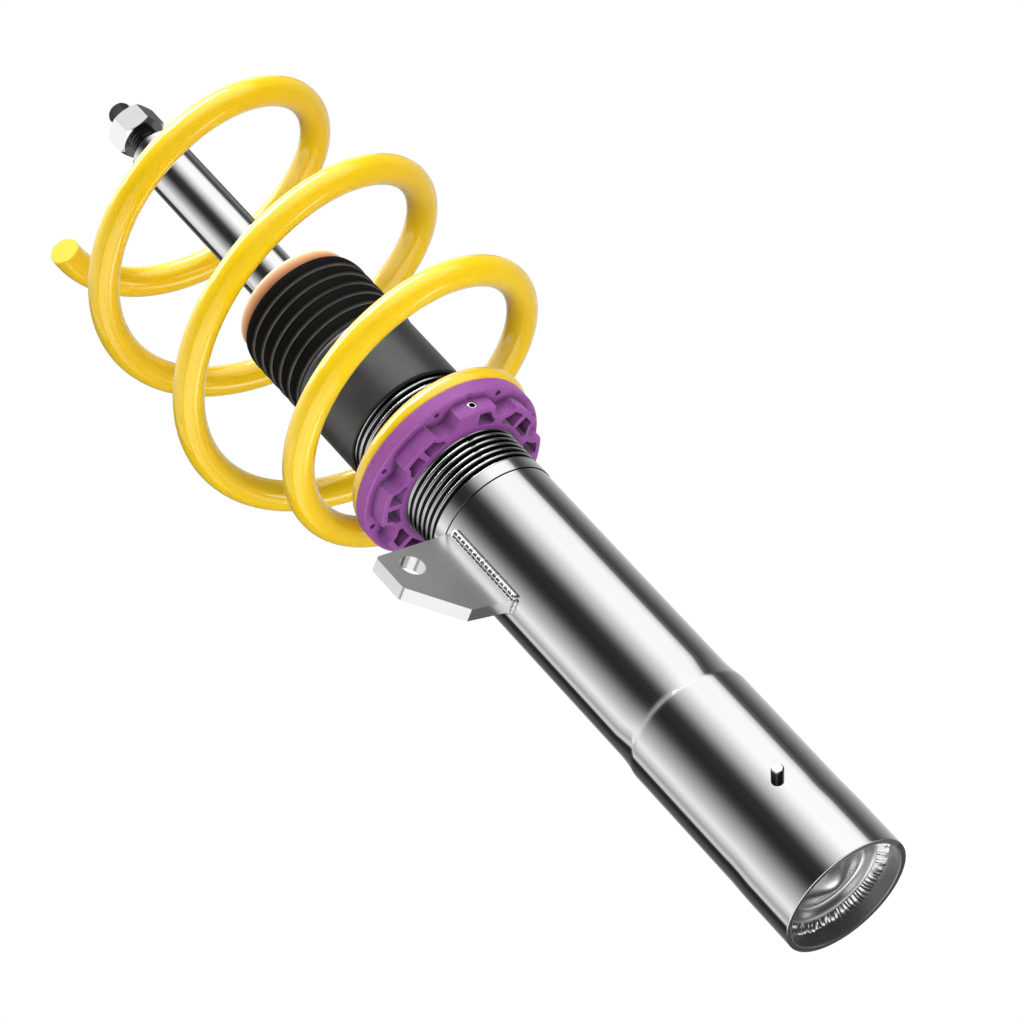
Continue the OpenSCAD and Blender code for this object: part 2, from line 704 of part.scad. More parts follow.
module thread_pad() {
    color("goldenrod") rotate([0, 0, screw_angle]) intersection() {
        translate([0, 0, screw_z]) rotate([0, 90, 0])
            cylinder(r = screw_r + run_fit, h = perch_bore_r + pad_len);
        ring_of(perch_bore_r + pad_len, perch_bore_r, perch_z, seat_up);
    }
}

module lock_screw() {
    socket_af = 2.4;
    socket_depth = 2.5;
    inner = perch_bore_r + pad_len + 0.1;
    outer = ring_r - 0.3;
    color("silver") rotate([0, 0, screw_angle]) translate([0, 0, screw_z]) rotate([0, 90, 0]) difference() {
        rotate_extrude() polygon([[0, inner], [screw_r - 0.4, inner], [screw_r, inner + 0.4],
            [screw_r, outer - 0.3], [screw_r - 0.3, outer], [0, outer]]);
        translate([0, 0, outer - socket_depth])
            cylinder(d = socket_af / cos(30), h = socket_depth + 1, $fn = 6);
    }
}

strut_tube();
threaded_body();
base_cap();
base_weld();
link_bracket();
bracket_weld();
locating_pin();
pressure_tube();
base_valve_body();
base_valve_shims();
base_valve_bolt();
rod_guide();
guide_bush();
guide_oring();
rod_seal();
gland_nut();
dust_wiper();
piston_rod();
piston();
piston_band();
compression_shims();
rebound_shims();
piston_nut();
rebound_stop();
rebound_buffer();
top_nut();
bump_stop();
dust_boot();
coil_spring();
spring_perch();
thread_pad();
lock_screw();
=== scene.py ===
"""Coilover strut: visible pieces, materials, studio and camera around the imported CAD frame."""
from math import ceil, cos, floor, pi, radians, sin, sqrt

import bmesh
import bpy
from mathutils import Matrix, Vector

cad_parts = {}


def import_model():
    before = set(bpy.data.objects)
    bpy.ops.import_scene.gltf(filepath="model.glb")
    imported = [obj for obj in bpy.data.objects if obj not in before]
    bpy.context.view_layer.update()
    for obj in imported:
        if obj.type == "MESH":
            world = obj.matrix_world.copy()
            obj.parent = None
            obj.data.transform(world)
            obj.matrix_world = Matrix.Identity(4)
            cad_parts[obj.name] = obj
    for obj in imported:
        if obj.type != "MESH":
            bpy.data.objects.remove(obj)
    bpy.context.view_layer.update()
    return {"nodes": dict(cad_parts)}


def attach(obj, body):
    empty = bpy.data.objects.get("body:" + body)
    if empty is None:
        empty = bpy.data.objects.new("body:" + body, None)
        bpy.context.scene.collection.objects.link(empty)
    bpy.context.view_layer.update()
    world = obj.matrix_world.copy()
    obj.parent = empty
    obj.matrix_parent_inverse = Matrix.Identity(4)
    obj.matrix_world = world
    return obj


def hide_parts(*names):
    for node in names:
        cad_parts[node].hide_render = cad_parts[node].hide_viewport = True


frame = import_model()
nodes = frame["nodes"]
MM = 0.001
CAMERA_SIDE = -138.0  # azimuth of the camera's side of the strut, in degrees


# ---------------------------------------------------------------- meshes
def new_piece(name, verts, faces, body, replaces, slot, material, smooth_angle=40.0):
    """A mesh piece from points in mm, riding on a body in place of CAD nodes."""
    mesh = bpy.data.meshes.new(name)
    mesh.from_pydata([Vector(v) * MM for v in verts], [], faces)
    mesh.validate()
    obj = bpy.data.objects.new(name, mesh)
    bpy.context.scene.collection.objects.link(obj)
    shade(obj, smooth_angle)
    mesh.materials.append(material)
    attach(obj, body)
    if replaces:
        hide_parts(*replaces)
    return obj


def shade(obj, angle):
    """Smooth faces, with sharp edges where the faces turn by more than the angle."""
    mesh = obj.data
    mesh.polygons.foreach_set("use_smooth", [True] * len(mesh.polygons))
    mesh.set_sharp_from_angle(angle=radians(angle))


def ring(r, z, n, start=0.0, centre=(0.0, 0.0)):
    """Points round Z at one height, from a start angle in radians."""
    angles = [start + 2 * pi * k / n for k in range(n)]
    return [(centre[0] + r * cos(a), centre[1] + r * sin(a), z) for a in angles]


def revolve(profile, segments=192):
    """A solid of revolution about Z from a closed profile of (radius, height) pairs."""
    on_axis = 1e-6
    verts, rows = [], []
    for r, z in profile:
        if r < on_axis:
            rows.append([len(verts)])
            verts.append((0.0, 0.0, z))
            continue
        rows.append(list(range(len(verts), len(verts) + segments)))
        verts += ring(r, z, segments)
    faces = []
    for a, b in zip(rows, rows[1:] + rows[:1]):
        if len(a) == 1 and len(b) == 1:
            continue
        for k in range(segments):
            n = (k + 1) % segments
            if len(a) == 1:
                faces.append((a[0], b[n], b[k]))
            elif len(b) == 1:
                faces.append((a[k], a[n], b[0]))
            else:
                faces.append((a[k], a[n], b[n], b[k]))
    return verts, faces


def supported(profile, gap=0.25):
    """The closed profile with a point a short way in from both ends of each long side, so that
    its smooth shading stays true along the side."""
    long_side = 5 * gap
    out = []
    for (x0, y0), (x1, y1) in zip(profile, profile[1:] + profile[:1]):
        out.append((x0, y0))
        run = sqrt((x1 - x0) ** 2 + (y1 - y0) ** 2)
        if run > long_side:
            for f in (gap / run, 1 - gap / run):
                out.append((x0 + (x1 - x0) * f, y0 + (y1 - y0) * f))
    return out


def smooth(a, b, t):
    """From 0 at a to 1 at b, level at both."""
    u = max(0.0, min(1.0, (t - a) / (b - a)))
    return u * u * (3 - 2 * u)


def sweep(points, radii, sides, side=None):
    """A closed tube of round section along points, one radius a point. Each section starts
    towards the side, or away from Z."""
    verts, faces = [], []
    n = len(points)
    angles = [2 * pi * k / sides for k in range(sides)]
    for i, p in enumerate(points):
        t = (points[min(i + 1, n - 1)] - points[max(i - 1, 0)]).normalized()
        out = Vector((p.x, p.y, 0)).normalized() if side is None else side
        u = (out - out.dot(t) * t).normalized()
        v = t.cross(u)
        verts += [p + radii[i] * (cos(a) * u + sin(a) * v) for a in angles]
    for i in range(n - 1):
        for k in range(sides):
            j = (k + 1) % sides
            faces.append((i * sides + k, i * sides + j, (i + 1) * sides + j, (i + 1) * sides + k))
    faces.append(tuple(range(sides - 1, -1, -1)))
    faces.append(tuple((n - 1) * sides + k for k in range(sides)))
    return verts, faces


# ---------------------------------------------------------------- materials
EVEN = (1, 1, 1)
RINGS = (1, 1, 40)  # stretches a noise into fine turning marks round Z


def set_stops(elements, stops):
    """A colour ramp's stops, each a place and a colour, in rising order."""
    for el, (place, colour) in zip((elements[0], elements[-1]), (stops[0], stops[-1])):
        el.position, el.color = place, (*colour, 1.0)
    for place, colour in stops[1:-1]:
        elements.new(place).color = (*colour, 1.0)


def remap(tree, value, source, target):
    """A Map Range node that carries a value from one range to another."""
    m = tree.nodes.new("ShaderNodeMapRange")
    m.inputs["From Min"].default_value, m.inputs["From Max"].default_value = source
    m.inputs["To Min"].default_value, m.inputs["To Max"].default_value = target
    tree.links.new(value, m.inputs["Value"])
    return m


class Nodes:
    """A material's node tree, with the Principled shader at its end."""

    def __init__(self, name):
        self.mat = bpy.data.materials.new(name)
        self.mat.use_nodes = True
        self.tree = self.mat.node_tree
        self.shader = self.tree.nodes["Principled BSDF"]
        self.coord = self.tree.nodes.new("ShaderNodeTexCoord").outputs["Object"]

    def link(self, a, b):
        self.tree.links.new(a, b)

    def feed(self, name, output):
        """Links an output to one of the shader's inputs."""
        self.link(output, self.shader.inputs[name])

    def mapping(self, scale):
        m = self.tree.nodes.new("ShaderNodeMapping")
        m.inputs["Scale"].default_value = scale
        self.link(self.coord, m.inputs["Vector"])
        return m.outputs["Vector"]

    def noise(self, scale, stretch=EVEN, detail=3.0):
        t = self.tree.nodes.new("ShaderNodeTexNoise")
        t.inputs["Scale"].default_value = scale
        t.inputs["Detail"].default_value = detail
        self.link(self.mapping(stretch), t.inputs["Vector"])
        return t.outputs["Fac"]

    def ramp(self, fac, stops):
        r = self.tree.nodes.new("ShaderNodeValToRGB")
        set_stops(r.color_ramp.elements, stops)
        self.link(fac, r.inputs["Fac"])
        return r.outputs["Color"]

    def span(self, fac, lo, hi, source=(0.3, 0.7)):
        return remap(self.tree, fac, source, (lo, hi)).outputs["Result"]

    def math(self, op, a, b):
        m = self.tree.nodes.new("ShaderNodeMath")
        m.operation = op
        for i, x in enumerate((a, b)):
            if isinstance(x, (int, float)):
                m.inputs[i].default_value = x
            else:
                self.link(x, m.inputs[i])
        return m.outputs[0]

    def height(self):
        """Metres up the strut."""
        s = self.tree.nodes.new("ShaderNodeSeparateXYZ")
        self.link(self.coord, s.inputs[0])
        return s.outputs["Z"]

    def radius(self):
        """Metres from the strut's axis."""
        part = self.tree.nodes.new("ShaderNodeSeparateXYZ")
        self.link(self.coord, part.inputs[0])
        squares = [self.math("MULTIPLY", part.outputs[c], part.outputs[c]) for c in "XY"]
        return self.math("SQRT", self.math("ADD", *squares), 0.0)

    def faces_down(self, lo, hi):
        """From 0 to 1 as the surface turns to face down."""
        coord = self.tree.nodes.new("ShaderNodeTexCoord")
        part = self.tree.nodes.new("ShaderNodeSeparateXYZ")
        self.link(coord.outputs["Normal"], part.inputs[0])
        return self.span(self.math("MULTIPLY", part.outputs["Z"], -1.0), 0.0, 1.0, (lo, hi))

    def blend(self, fac, a, b):
        """Two colours mixed, each an output."""
        mix = self.tree.nodes.new("ShaderNodeMix")
        mix.data_type = "RGBA"
        self.link(fac, mix.inputs["Factor"])
        self.link(a, mix.inputs["A"])
        self.link(b, mix.inputs["B"])
        return mix.outputs["Result"]

    def occlusion_shade(self, distance):
        """From 0 on open ground to 1 where ambient occlusion is deepest, as the share of painted shade."""
        ao = self.tree.nodes.new("ShaderNodeAmbientOcclusion")
        ao.inputs["Distance"].default_value = distance
        ao.samples = 8
        return self.span(ao.outputs["AO"], 1.0, 0.0, (0.35, 0.85))

    def bump(self, height, strength, distance):
        b = self.tree.nodes.new("ShaderNodeBump")
        b.inputs["Strength"].default_value = strength
        b.inputs["Distance"].default_value = distance
        self.link(height, b.inputs["Height"])
        self.feed("Normal", b.outputs["Normal"])

    def set(self, **values):
        for key, value in values.items():
            self.shader.inputs[key.replace("_", " ")].default_value = value


def between(a, b):
    """Two stops of a ramp, across the middle of a noise's values."""
    return [(0.32, a), (0.68, b)]


def grained(name, dark, light, metallic, rough, scale, stretch=EVEN, bump=0.04, depth=0.0002,
            **extra):
    """A finish whose colour and roughness drift between two values, with a fine relief."""
    n = Nodes(name)
    n.feed("Base Color", n.ramp(n.noise(scale, stretch), between(dark, light)))
    n.set(Metallic=metallic, **extra)
    n.feed("Roughness", n.span(n.noise(scale * 0.35, stretch), *rough))
    n.bump(n.noise(scale * 4, stretch, 2.0), bump, depth)
    return n.mat


def grey(v, tint=(1.0, 1.0, 1.0)):
    return tuple(v * t for t in tint)


cap_mat = grained("pressed_cap", grey(0.55), grey(0.63), 1.0, (0.22, 0.28), 60.0, EVEN, 0.01)
bracket_mat = grained("bracket_plate", grey(0.76), grey(0.82), 1.0, (0.15, 0.21), 45.0, EVEN, 0.03)
bore_mat = grained("honed_tube", grey(0.6), grey(0.68), 1.0, (0.2, 0.3), 200.0, RINGS)
iron_mat = grained("sintered_iron", grey(0.16), grey(0.24), 1.0, (0.4, 0.55), 700.0, EVEN, 0.2)
shim_mat = grained("shim_steel", grey(0.5, (0.95, 0.98, 1.05)), grey(0.6), 1.0, (0.2, 0.3), 300.0)
hard_mat = grained("machined_steel", grey(0.25), grey(0.34), 1.0, (0.28, 0.4), 300.0, RINGS)
alloy_mat = grained("guide_alloy", grey(0.58), grey(0.66), 1.0, (0.3, 0.42), 300.0, RINGS)
bronze_mat = grained("bush_bronze", (0.55, 0.34, 0.16), (0.66, 0.42, 0.2), 1.0, (0.3, 0.42), 300.0,
                     RINGS)
seal_mat = grained("seal_rubber", grey(0.016), grey(0.028), 0.0, (0.45, 0.6), 400.0)
gland_mat = grained("gland_black", grey(0.03), grey(0.05), 0.6, (0.35, 0.5), 300.0, RINGS)
band_mat = grained("piston_band", (0.2, 0.1, 0.05), (0.28, 0.15, 0.08), 0.0, (0.4, 0.55), 400.0)
nut_mat = grained("plated_nut", (0.94, 0.92, 0.93), (0.98, 0.97, 0.97), 1.0, (0.06, 0.12), 120.0)
brass_mat = grained("pad_brass", (0.62, 0.45, 0.2), (0.72, 0.54, 0.26), 1.0, (0.28, 0.4), 300.0)
spring_mat = grained("yellow_powder_coat", (0.95, 0.62, 0.004), (0.97, 0.65, 0.006), 0.0,
                     (0.30, 0.38), 60.0, EVEN, 0.01, 0.0003, Specular_IOR_Level=0.1,
                     Coat_Weight=1.0, Coat_Roughness=0.03, Coat_IOR=1.8)


def rod_material():
    """Hard chrome between the shoulder and the piston, dark oxide on the stud and the tip."""
    n = Nodes("hard_chrome_rod")
    shoulder = 0.4588
    stud = n.math("GREATER_THAN", n.height(), shoulder)
    chrome = n.ramp(n.noise(30.0, (1, 1, 0.3)), between(grey(0.76), grey(0.84)))
    oxide = n.ramp(n.noise(200.0), between(grey(0.07), grey(0.11)))
    n.feed("Base Color", n.blend(stud, chrome, oxide))
    n.set(Metallic=1.0)
    duller = n.math("MULTIPLY", stud, 0.22)
    n.feed("Roughness", n.math("ADD", n.span(n.noise(60.0), 0.06, 0.11), duller))
    n.bump(n.noise(40.0, (1, 1, 2)), 0.004, 0.0001)
    return n.mat


def stop_material():
    """Cream foam turning orange down the flange, with painted shade in dark brown where it sinks to the
    boot.
    """
    n = Nodes("foam_stop")
    flange = (0.3500, 0.3580)  # its foot and its top
    waver = n.math("MULTIPLY", n.noise(300.0), 0.0006)
    rise = n.span(n.math("ADD", n.height(), waver), 0.0, 1.0, flange)
    # Painted shade: dark brown and orange at the flange's foot, cream at its top
    n.feed("Base Color", n.ramp(rise, [(0.0, (0.18, 0.045, 0.015)), (0.3, (0.42, 0.15, 0.05)),
                                       (0.6, (0.74, 0.38, 0.165)), (0.85, (0.95, 0.80, 0.56))]))
    n.feed("Roughness", n.span(n.noise(200.0), 0.45, 0.6))
    n.bump(n.noise(2200.0), 0.08, 0.0002)
    return n.mat


def weld_material():
    """Bright bead with faint straw tints, and painted shade in grey in the corners beside it."""
    n = Nodes("weld_bead")
    bead = n.ramp(n.noise(170.0, detail=4.0), [(0.3, (0.62, 0.60, 0.58)), (0.5, (0.88, 0.87, 0.86)),
                                               (0.7, (0.94, 0.92, 0.89))])
    # Painted shade: a darker grey laid into the corners beside the bead
    corner_shade = n.ramp(n.noise(300.0), between(grey(0.2), grey(0.3)))
    n.feed("Base Color", n.blend(n.occlusion_shade(0.0009), bead, corner_shade))
    n.set(Metallic=1.0)
    n.feed("Roughness", n.span(n.noise(400.0), 0.16, 0.34))
    n.bump(n.noise(1400.0), 0.12, 0.0003)
    return n.mat


def by_radius(name, inner, outer, edge, rough):
    """A metal that turns from one colour to another with the distance from the strut's axis."""
    n = Nodes(name)
    waver = n.math("MULTIPLY", n.math("SUBTRACT", n.noise(160.0), 0.5), (edge[1] - edge[0]) * 0.3)
    f = n.span(n.math("ADD", n.radius(), waver), 0.0, 1.0, edge)
    n.feed("Base Color", n.ramp(f, [(0.0, inner), (1.0, outer)]))
    n.set(Metallic=1.0)
    n.feed("Roughness", n.span(n.noise(90.0, RINGS), *rough))
    n.bump(n.noise(480.0, RINGS, 2.0), 0.008, 0.0001)
    return n.mat


def tube_material():
    """Polished outside, duller in the bore and along the crease of the swage."""
    n = Nodes("polished_tube")
    wall, crease = (0.0253, 0.0257), 0.0941  # radii inside the wall, and a height
    outside = n.span(n.radius(), 0.0, 1.0, wall)
    bore = n.ramp(n.noise(60.0), between(grey(0.30), grey(0.36)))
    polish = n.ramp(n.noise(18.0, (1, 1, 0.35)), between(grey(0.79), grey(0.83)))
    n.feed("Base Color", n.blend(outside, bore, polish))
    n.set(Metallic=1.0)
    away = n.math("ABSOLUTE", n.math("SUBTRACT", n.height(), crease), 0.0)
    inside = n.math("MULTIPLY", n.math("SUBTRACT", 1.0, outside), 0.38)
    duller = n.math("ADD", inside, n.span(away, 0.10, 0.0, (0.0002, 0.0016)))
    n.feed("Roughness", n.math("ADD", n.span(n.noise(30.0), 0.05, 0.08), duller))
    n.bump(n.noise(90.0), 0.004, 0.0001)
    return n.mat


def boot_material():
    """Black rubber, duller on the ribs, with a painted highlight in grey on their lower ledges."""
    n = Nodes("boot_rubber")
    rib_foot = (0.3105, 0.3125)
    ribs = n.span(n.height(), 0.0, 1.0, rib_foot)
    # Painted highlight: grey laid on the lower ledges of the ribs, which face down
    ledge = n.math("MULTIPLY", n.faces_down(0.1, 0.95), ribs)
    ledge_highlight = n.math("MULTIPLY", ledge, n.span(n.noise(90.0), 0.7, 1.0))
    rib = n.ramp(ledge_highlight, [(0.0, grey(0.006)), (0.5, grey(0.06)), (1.0, grey(0.20))])
    sleeve = n.ramp(n.noise(200.0), between(grey(0.022), grey(0.028)))
    n.feed("Base Color", n.blend(ribs, sleeve, rib))
    duller = n.math("MULTIPLY", ribs, 0.2)
    n.feed("Roughness", n.math("ADD", n.span(n.noise(120.0), 0.32, 0.38), duller))
    n.feed("Specular IOR Level", n.math("SUBTRACT", 0.9, n.math("MULTIPLY", ribs, 0.89)))
    n.bump(n.noise(500.0), 0.02, 0.0002)
    return n.mat


def thread_material():
    """A steel thread with painted shade near black in its grooves and plain crests, over a polished collar,
    and painted shade in the seam's groove below it.
    """
    n = Nodes("thread_steel")
    crest_edge = (0.0259, 0.0262)
    collar_top, seam_top = (0.2217, 0.2221), (0.21658, 0.21662)
    waver = n.math("MULTIPLY", n.math("SUBTRACT", n.noise(200.0), 0.5), 0.0002)
    # Painted shade: the grooves near black, the crests plain steel
    crest = n.span(n.math("ADD", n.radius(), waver), 0.0, 1.0, crest_edge)
    groove = n.ramp(crest, [(0.0, grey(0.01)), (1.0, grey(0.62))])
    collar = n.span(n.height(), 1.0, 0.0, collar_top)
    # Painted shade: the seam's groove, below the collar, dark grey
    over_seam = n.span(n.height(), 0.0, 1.0, seam_top)
    polish = n.blend(over_seam, n.ramp(n.noise(60.0), between(grey(0.03), grey(0.05))),
                     n.ramp(n.noise(18.0), between(grey(0.79), grey(0.83))))
    n.feed("Base Color", n.blend(collar, groove, polish))
    n.set(Metallic=1.0)
    smoother = n.math("MULTIPLY", collar, 0.1)
    n.feed("Roughness", n.math("SUBTRACT", n.span(n.noise(90.0), 0.16, 0.22), smoother))
    n.bump(n.noise(90.0), 0.004, 0.0001)
    return n.mat


def perch_material():
    """Purple anodising, with painted shade in the pockets."""
    n = Nodes("purple_anodised")
    open_ground = n.ramp(n.noise(420.0), between((0.315, 0.078, 0.345), (0.35, 0.090, 0.385)))
    # Painted shade: a dark purple laid into the pockets
    pocket_shade = n.ramp(n.noise(300.0), between((0.06, 0.010, 0.07), (0.08, 0.014, 0.095)))
    n.feed("Base Color", n.blend(n.occlusion_shade(0.006), open_ground, pocket_shade))
    n.feed("Roughness", n.span(n.noise(150.0), 0.40, 0.50))
    n.bump(n.noise(1600.0), 0.04, 0.0002)
    return n.mat


rod_mat, stop_mat, weld_mat, tube_mat = rod_material(), stop_material(), weld_material(), tube_material()
boot_mat, thread_mat, perch_mat = boot_material(), thread_material(), perch_material()
screw_mat = by_radius("lock_screw", grey(0.01), grey(0.85), (0.0371, 0.03725), (0.2, 0.3))
pin_mat = by_radius("turned_pin", grey(0.10), grey(0.90), (0.0351, 0.0353), (0.12, 0.2))
ripple_mat = grained("cap_weld", grey(0.72), grey(0.88), 1.0, (0.10, 0.18), 300.0, EVEN, 0.02, 0.0001)

# Every CAD node's own finish
KEPT = {
    "strut_tube": tube_mat, "threaded_body": thread_mat, "base_cap": cap_mat, "base_weld": weld_mat,
    "link_bracket": bracket_mat, "bracket_weld": weld_mat, "locating_pin": pin_mat,
    "pressure_tube": bore_mat, "base_valve_body": iron_mat, "base_valve_shims": shim_mat,
    "base_valve_bolt": hard_mat, "rod_guide": alloy_mat, "guide_bush": bronze_mat,
    "guide_oring": seal_mat, "rod_seal": seal_mat, "gland_nut": gland_mat, "dust_wiper": seal_mat,
    "piston": iron_mat, "piston_band": band_mat, "compression_shims": shim_mat,
    "rebound_shims": shim_mat, "piston_nut": hard_mat, "rebound_stop": hard_mat,
    "rebound_buffer": seal_mat, "piston_rod": rod_mat, "top_nut": nut_mat, "bump_stop": stop_mat,
    "dust_boot": boot_mat, "coil_spring": spring_mat, "spring_perch": perch_mat,
    "thread_pad": brass_mat, "lock_screw": screw_mat,
}
for name, mat in KEPT.items():
    mesh = nodes[name].data
    mesh.materials.clear()
    mesh.materials.append(mat)

# ---------------------------------------------------------------- strut tube
TUBE_R, BARREL_R, SEAT_R, SEAT_H, WALL = 26.0, 27.2, 27.5, 37.5, 2.5
SWAGE_Z, SWAGE_H, SEAM_Z = 94.0, 11.0, 216.2


def tube_profile():
    """Outside from the rim up, with the swage as an S-curve, and back down the bore."""
    core, low_core = TUBE_R - WALL, SEAT_R - WALL
    ease, ease_steps = 14, 8  # height over which the clamped seat sinks to the barrel
    swage_steps = 14
    fall = 2 * (BARREL_R - TUBE_R) / SWAGE_H  # slope just above the crease
    soft = 0.9  # half the length over which the crease is rounded
    rim = [(low_core + 0.3, 0.0), (SEAT_R - 0.18, 0.0), (SEAT_R - 0.05, 0.05), (SEAT_R, 0.18)]
    seat = [(SEAT_R + (BARREL_R - SEAT_R) * smooth(0, 1, i / ease_steps),
             SEAT_H - ease + ease * i / ease_steps) for i in range(ease_steps + 1)]
    crease = [(BARREL_R - fall * (i / 4 * soft) ** 2 / soft, SWAGE_Z + soft * (i / 2 - 1))
              for i in range(4)]
    swage = [(TUBE_R + (BARREL_R - TUBE_R) * (1 - i / swage_steps) ** 2,
              SWAGE_Z + SWAGE_H * i / swage_steps) for i in range(1, swage_steps + 1)]
    bore = [(TUBE_R, SEAM_Z - 0.04), (TUBE_R - 0.04, SEAM_Z), (core, SEAM_Z),
            (core, SWAGE_Z + SWAGE_H), (low_core, SWAGE_Z), (low_core, 0.3)]
    return rim + seat + [(BARREL_R, SWAGE_Z - 1.6)] + crease + swage + bore


new_piece("tube_shell", *revolve(supported(tube_profile()), 256), "strut", ["strut_tube"], "tube_steel",
          tube_mat, 30)

# ---------------------------------------------------------------- threaded body
THREAD_R, DEPTH, PITCH = 26.35, 1.25, 3.0
THREAD_LOW, THREAD_HIGH, BODY_TOP = 221.9, 298.6, 300.0
ROOT_Z = 223.4  # height of a thread root on the camera's side
COLUMNS = 144  # faces round the thread and round the plain ends that meet it
MERGE = 0.00001  # points closer than this, in metres, become one


def thread_mesh():
    """Rows that follow a right-hand helix, cut off at two rings."""
    run_out = 1.2  # height over which the thread rises from each ring
    # Pairs of a share of the pitch and a share of the depth, across one groove
    groove = [(-0.5, 0.0), (-0.40, 0.0), (-0.34, 0.06), (-0.10, 0.94), (-0.05, 1.0), (0.05, 1.0),
              (0.10, 0.94), (0.34, 0.06), (0.40, 0.0)]
    turns = range(floor((THREAD_LOW - ROOT_Z) / PITCH) - 1, ceil((THREAD_HIGH - ROOT_Z) / PITCH) + 2)
    rows = [(ROOT_Z + PITCH * (i + f), g) for i in turns for f, g in groove]
    verts, faces = [], []
    for z, g in rows:
        for k in range(COLUMNS + 1):
            a = radians(CAMERA_SIDE + 360.0 * k / COLUMNS)
            zz = z + PITCH * k / COLUMNS
            fade = (smooth(THREAD_LOW, THREAD_LOW + run_out, zz)
                    * (1 - smooth(THREAD_HIGH - run_out, THREAD_HIGH, zz)))
            r = THREAD_R - DEPTH * g * fade
            verts.append((r * cos(a), r * sin(a), max(THREAD_LOW, min(THREAD_HIGH, zz))))
    w = COLUMNS + 1
    for j in range(len(rows) - 1):
        for k in range(COLUMNS):
            q = (j * w + k, j * w + k + 1, (j + 1) * w + k + 1, (j + 1) * w + k)
            if len({round(verts[i][2], 4) for i in q}) > 1:
                faces.append(q)
    return verts, faces


def join(*parts):
    """One mesh of several."""
    verts, faces = [], []
    for v, f in parts:
        base = len(verts)
        verts += v
        faces += [tuple(base + i for i in face) for face in f]
    return verts, faces


def open_revolve(profile):
    """A surface of revolution about Z of an open profile, from the camera's side."""
    verts, faces = [], []
    for r, z in profile:
        verts += ring(r, z, COLUMNS, radians(CAMERA_SIDE))
    for j in range(len(profile) - 1):
        for k in range(COLUMNS):
            n = (k + 1) % COLUMNS
            faces.append((j * COLUMNS + k, j * COLUMNS + n, (j + 1) * COLUMNS + n, (j + 1) * COLUMNS + k))
    return verts, faces


def weld_close(obj):
    """Merges points that meet, and turns all faces outwards."""
    bm = bmesh.new()
    bm.from_mesh(obj.data)
    bmesh.ops.remove_doubles(bm, verts=bm.verts, dist=MERGE)
    bmesh.ops.dissolve_degenerate(bm, edges=bm.edges, dist=MERGE)
    bmesh.ops.recalc_face_normals(bm, faces=bm.faces)
    bm.to_mesh(obj.data)
    bm.free()


def body_mesh():
    """The seam's groove and the collar, the thread, and the chamfered mouth with the bore."""
    core, seam_r, chamfer = TUBE_R - WALL, TUBE_R - 0.25, 0.9
    collar = [(core, SEAM_Z), (seam_r, SEAM_Z), (seam_r, SEAM_Z + 0.4), (THREAD_R - 0.04, SEAM_Z + 0.4),
              (THREAD_R, SEAM_Z + 0.44), (THREAD_R, SEAM_Z + 0.7), (THREAD_R, THREAD_LOW - 0.3),
              (THREAD_R, THREAD_LOW)]
    mouth = [(THREAD_R, THREAD_HIGH), (THREAD_R, BODY_TOP - chamfer), (THREAD_R - chamfer, BODY_TOP),
             (core, BODY_TOP), (core, SEAM_Z)]
    return join(open_revolve(collar), thread_mesh(), open_revolve(mouth))


thread = new_piece("perch_thread", *body_mesh(), "strut", ["threaded_body"], "thread_steel", thread_mat, 30)
weld_close(thread)
shade(thread, 35)

# ---------------------------------------------------------------- coil spring
WIRE_R, WIRE_SIDES, WIRE_CHAMFER = 6.3, 40, 0.45
RINGS_PER_TURN = 96
COIL = dict(
    tip=33.95, seat=37.5, mid=68.33, top=55.4,  # radii from the seated end to the free one
    leave=(-23, 154), open=(127, 453), close=(736, 1369),  # turned angles of their changes
    p_seat=6.4, p_mid=71.6, p_top=50.2,  # rise in a turn
    rise=(-65, 703), ease=(874, 1220),  # turned angles of its changes
    start=-110.0, sweep=1466.0, flat=-20.0,  # the first angle, the whole turn, and where the rise starts
    zero=-138.0, rest=255.0,  # azimuth of angle 0, and the height of the seated end
)


def coil_points():
    """The wire's centre line, from the seated end to the free end."""
    c = COIL
    n = ceil(RINGS_PER_TURN * c["sweep"] / 360)
    da = c["sweep"] / n
    z, pts = c["rest"], []
    for i in range(n + 1):
        t = c["start"] + i * da
        r = (c["tip"] + (c["seat"] - c["tip"]) * smooth(*c["leave"], t)
             + (c["mid"] - c["seat"]) * smooth(*c["open"], t)
             + (c["top"] - c["mid"]) * smooth(*c["close"], t))
        a = radians(t + c["zero"])
        pts.append(Vector((r * cos(a), r * sin(a), z)))
        s = t + da / 2
        if s >= c["flat"]:
            pitch = (c["p_seat"] + (c["p_mid"] - c["p_seat"]) * smooth(*c["rise"], s)
                     + (c["p_top"] - c["p_mid"]) * smooth(*c["ease"], s))
            z += pitch * da / 360
    return pts


def coil_piece():
    """The wire with a small chamfer at its cut ends."""
    pts = coil_points()
    first, last = (pts[0] - pts[1]).normalized(), (pts[-1] - pts[-2]).normalized()
    path = ([pts[0], pts[0] - first * WIRE_CHAMFER] + pts[1:-1]
            + [pts[-1] - last * WIRE_CHAMFER, pts[-1]])
    cut_end = [WIRE_R - WIRE_CHAMFER]
    return sweep(path, cut_end + [WIRE_R] * (len(path) - 2) + cut_end, WIRE_SIDES)


spring = new_piece("spring_wire", *coil_piece(), "spring", ["coil_spring"], "spring_yellow", spring_mat, 30)

# The metals don't mirror these
for obj in (spring, nodes["spring_perch"], nodes["locating_pin"], nodes["link_bracket"]):
    obj.visible_glossy = False

# ---------------------------------------------------------------- bump stop and boot
BOOT_R, BOOT_Z, BOOT_TOP, BOOT_WALL, NECK_R = 28.05, 275.4, 350.2, 1.3, 20.0
RIB_Z, RIB_PITCH, RIBS, RIB_DEPTH = 312.6, 6.2, 6, 0.9
RIB_EDGE = 0.22  # share of the pitch that the rounded lower edge takes
